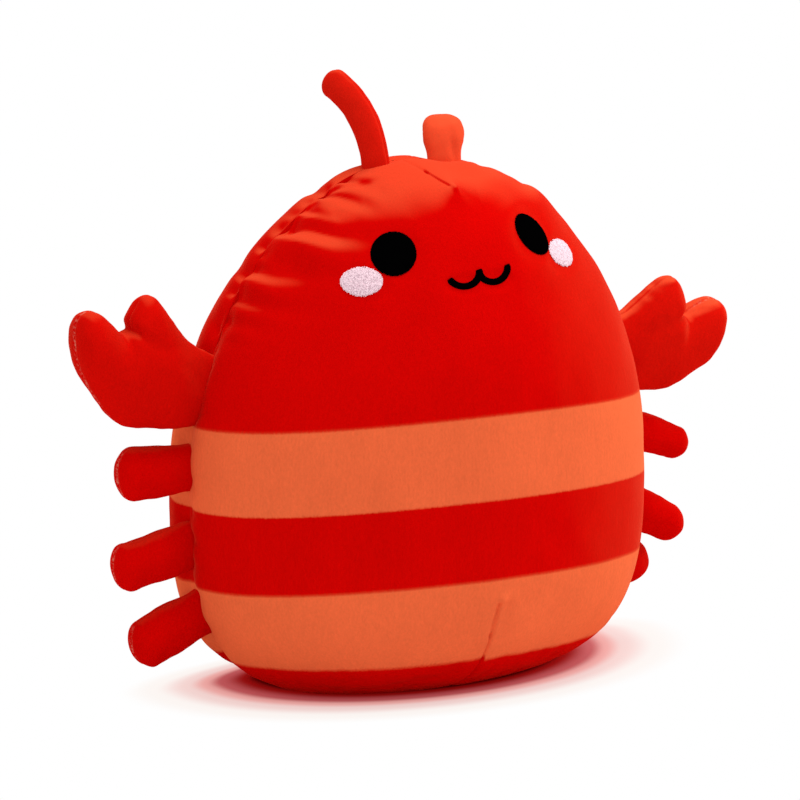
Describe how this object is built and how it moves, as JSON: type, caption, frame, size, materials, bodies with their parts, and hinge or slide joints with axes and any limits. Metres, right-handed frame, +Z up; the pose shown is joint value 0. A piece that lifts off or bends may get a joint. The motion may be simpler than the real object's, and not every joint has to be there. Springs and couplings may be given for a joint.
{
  "type": "plush lobster",
  "caption": "Stuffed toy lobster with an egg-shaped striped body, two mitten claws, stub legs, bent antennae and a stitched face.",
  "frame": {"origin": "on the flat patch that the toy sits on, on the floor plane, 2 mm in front of the seam that crosses the patch", "axes": "+Z up through the crown, -Y out through the face, +X towards the toy's claw on the right as the face is seen from the front"},
  "size_m": [0.2885, 0.1553, 0.2454],
  "materials": {
    "printed_pile": "short velvety pile, printed in red and coral bands",
    "red_pile": "short velvety pile",
    "black_thread": "close machine embroidery with a soft sheen",
    "blush_thread": "close machine embroidery with a soft sheen",
    "fibre": "loose polyester fibre"
  },
  "bodies": {
    "root": {"front_panel": "printed_pile", "back_panel": "printed_pile", "filling": "fibre", "left_antenna": "red_pile", "right_antenna": "red_pile", "left_claw": "red_pile", "right_claw": "red_pile", "left_upper_leg": "red_pile", "left_middle_leg": "red_pile", "left_lower_leg": "red_pile", "right_upper_leg": "red_pile", "right_middle_leg": "red_pile", "right_lower_leg": "red_pile", "left_eye": "black_thread", "right_eye": "black_thread", "left_cheek": "blush_thread", "right_cheek": "blush_thread", "mouth": "black_thread"}
  },
  "joints": []
}
